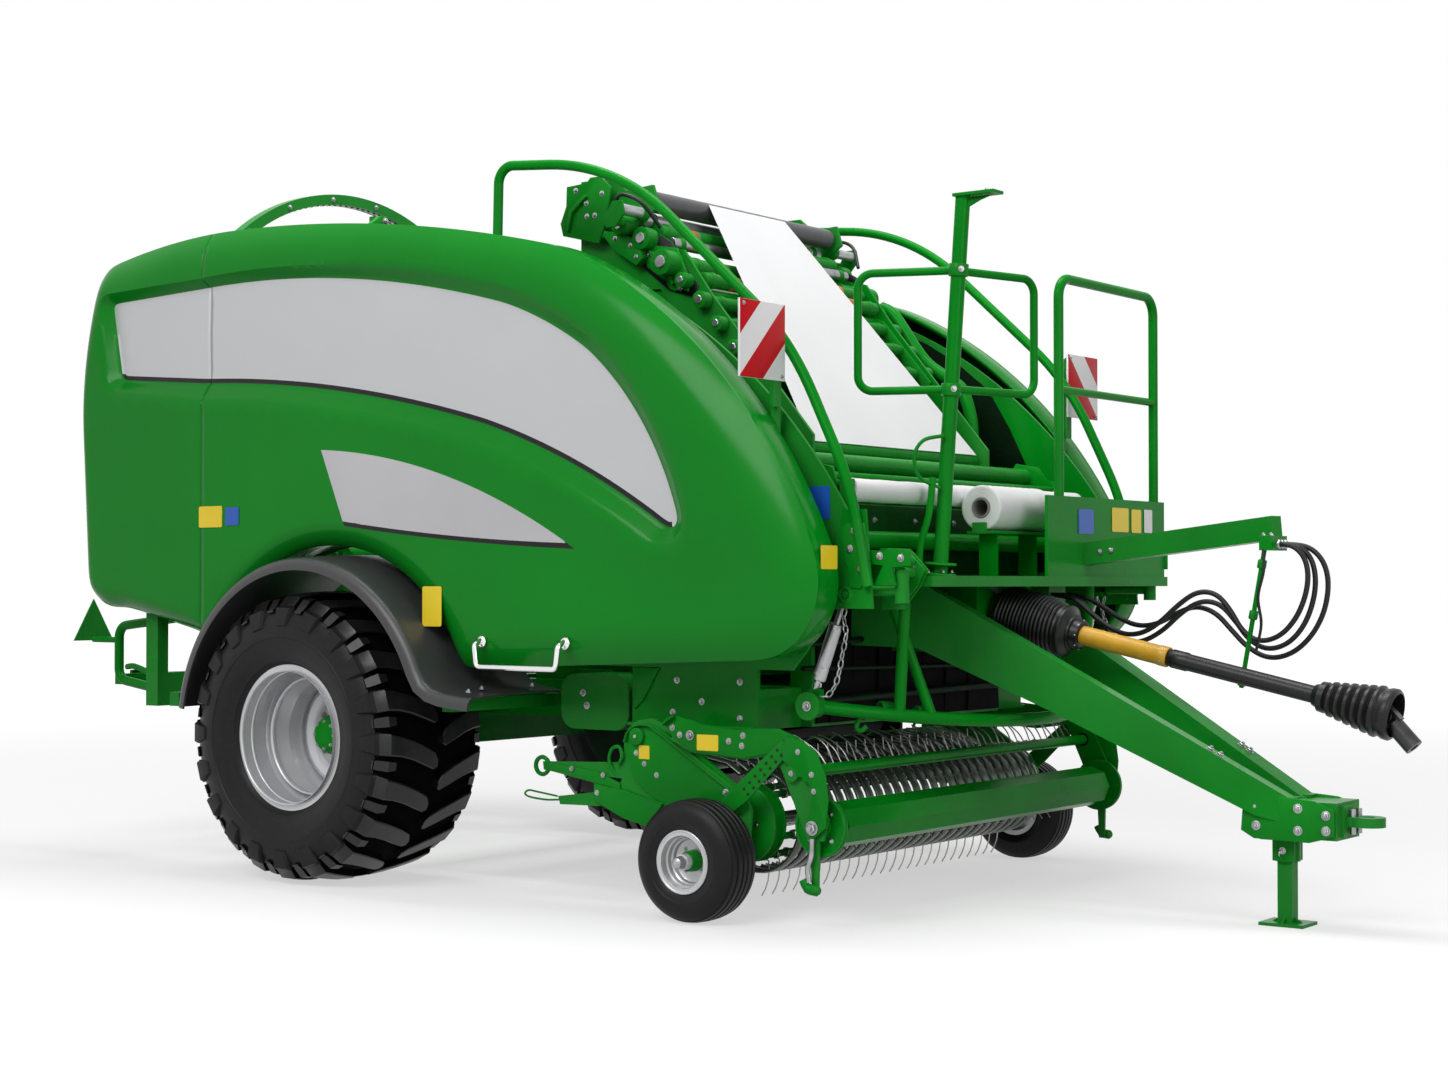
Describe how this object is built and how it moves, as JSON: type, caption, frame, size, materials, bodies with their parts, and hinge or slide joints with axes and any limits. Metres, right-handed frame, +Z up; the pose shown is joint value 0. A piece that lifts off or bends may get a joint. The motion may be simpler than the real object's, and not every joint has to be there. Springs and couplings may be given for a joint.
{
  "type": "trailed round baler and bale wrapper",
  "caption": "Two-wheeled farm trailer that bales crop and wraps the bale in film, with a tined pickup, lifting side doors, a wrapping ring and a drawbar",
  "frame": {"origin": "on the ground under the middle of the machine's length and width", "axes": "+X forward to the drawbar, +Y to the machine's left, +Z up"},
  "size_m": [6.0848, 2.98, 3.1699],
  "materials": {
    "frame_green": "glossy green paint on welded steel",
    "body_green": "glossy green moulded panel with a silver field",
    "fender_grey": "dark grey moulded plastic",
    "tyre": "ribbed black rubber",
    "rim_silver": "silver paint",
    "handle_steel": "polished tube",
    "hose_rubber": "black hydraulic hose",
    "guard_black": "black moulded guard",
    "guard_yellow": "yellow moulded guard",
    "film_white": "stretch film",
    "bright_steel": "zinc plated steel",
    "roller_dark": "dark grey rubber covered roller",
    "board_white": "reflective red and white stripes",
    "reflector_red": "red prism reflector in a dark green plate"
  },
  "bodies": {
    "chassis": {"axle_beam": "frame_green", "chamber_rollers": "frame_green", "chamber_sides": "frame_green", "drawbar": "frame_green", "fenders": "fender_grey", "film_frame": "frame_green", "film_web": "film_white", "front_guard_bar": "frame_green", "front_platform": "frame_green", "gearbox": "frame_green", "guard_rail": "frame_green", "hitch_eye": "frame_green", "hoops": "frame_green", "hose_arm": "frame_green", "hose_back": "hose_rubber", "hose_front": "hose_rubber", "hose_loop": "hose_rubber", "inner_walls": "frame_green", "lift_springs": "bright_steel", "main_frame": "frame_green", "marker_boards": "board_white", "mast": "frame_green", "pto_boot": "guard_black", "pto_guard": "guard_black", "pto_tube": "guard_yellow", "rear_shells": "body_green", "reflectors": "reflector_red", "ring_carrier": "frame_green", "rotor_housing": "frame_green", "spare_film_roll": "film_white", "tail_frame": "frame_green", "web_rollers": "roller_dark", "wide_film_roll": "film_white", "wrap_table": "frame_green"},
    "right_wheel": {"right_tyre": "tyre", "right_rim": "rim_silver", "right_hub": "frame_green"},
    "left_wheel": {"left_tyre": "tyre", "left_rim": "rim_silver", "left_hub": "frame_green"},
    "right_door": {"right_door": "body_green", "right_handle": "handle_steel"},
    "left_door": {"left_door": "body_green", "left_handle": "handle_steel"},
    "wrap_ring": {"wrap_ring": "frame_green", "film_dispensers": "frame_green", "dispenser_film": "film_white"},
    "jack": {"jack_leg": "frame_green"},
    "pto_shaft": {"pto_shaft": "bright_steel"},
    "pickup": {"pickup_frame": "frame_green", "pickup_bands": "frame_green"},
    "pickup_reel": {"pickup_reel": "frame_green"},
    "wind_guard": {"wind_guard": "frame_green"},
    "crop_roller": {"crop_roller": "frame_green"},
    "right_gauge_wheel": {"right_gauge_tyre": "tyre", "right_gauge_rim": "rim_silver"},
    "left_gauge_wheel": {"left_gauge_tyre": "tyre", "left_gauge_rim": "rim_silver"}
  },
  "joints": [
    {"name": "right_wheel_spin", "type": "hinge", "parent": "chassis", "child": "right_wheel", "pos_m": [-1.2274, -1.15, 0.6115], "axis": [0, 1, 0], "continuous": true},
    {"name": "left_wheel_spin", "type": "hinge", "parent": "chassis", "child": "left_wheel", "pos_m": [-1.2274, 1.15, 0.6115], "axis": [0, 1, 0], "continuous": true},
    {"name": "right_door_lift", "type": "hinge", "parent": "chassis", "child": "right_door", "pos_m": [-0.2774, -1.05, 2.792], "axis": [-1, 0, 0], "range_deg": [0, 75]},
    {"name": "left_door_lift", "type": "hinge", "parent": "chassis", "child": "left_door", "pos_m": [-0.2774, 1.05, 2.792], "axis": [1, 0, 0], "range_deg": [0, 75]},
    {"name": "wrap_ring_turn", "type": "hinge", "parent": "chassis", "child": "wrap_ring", "pos_m": [-2.3374, 0, 2.02], "axis": [1, 0, 0], "continuous": true},
    {"name": "jack_slide", "type": "slide", "parent": "chassis", "child": "jack", "axis": [0, 0, 1], "range_m": [0, 0.2]},
    {"name": "pto_turn", "type": "hinge", "parent": "chassis", "child": "pto_shaft", "pos_m": [1.5226, 0, 1.09], "axis": [0.9773, 0, -0.2121], "continuous": true},
    {"name": "pickup_lift", "type": "hinge", "parent": "chassis", "child": "pickup", "pos_m": [0.3826, 0, 0.665], "axis": [0, -1, 0], "range_deg": [0, 6]},
    {"name": "reel_turn", "type": "hinge", "parent": "pickup", "child": "pickup_reel", "pos_m": [0.8176, 0, 0.35], "axis": [0, 1, 0], "continuous": true},
    {"name": "wind_guard_lift", "type": "hinge", "parent": "pickup", "child": "wind_guard", "pos_m": [0.6526, 0, 0.68], "axis": [0, -1, 0], "range_deg": [0, 5]},
    {"name": "crop_roller_turn", "type": "hinge", "parent": "wind_guard", "child": "crop_roller", "pos_m": [1.2156, 0, 0.367], "axis": [0, 1, 0], "continuous": true},
    {"name": "right_gauge_spin", "type": "hinge", "parent": "pickup", "child": "right_gauge_wheel", "pos_m": [0.7576, -1.236, 0.2285], "axis": [0, 1, 0], "continuous": true},
    {"name": "left_gauge_spin", "type": "hinge", "parent": "pickup", "child": "left_gauge_wheel", "pos_m": [0.7576, 1.236, 0.2285], "axis": [0, 1, 0], "continuous": true}
  ]
}
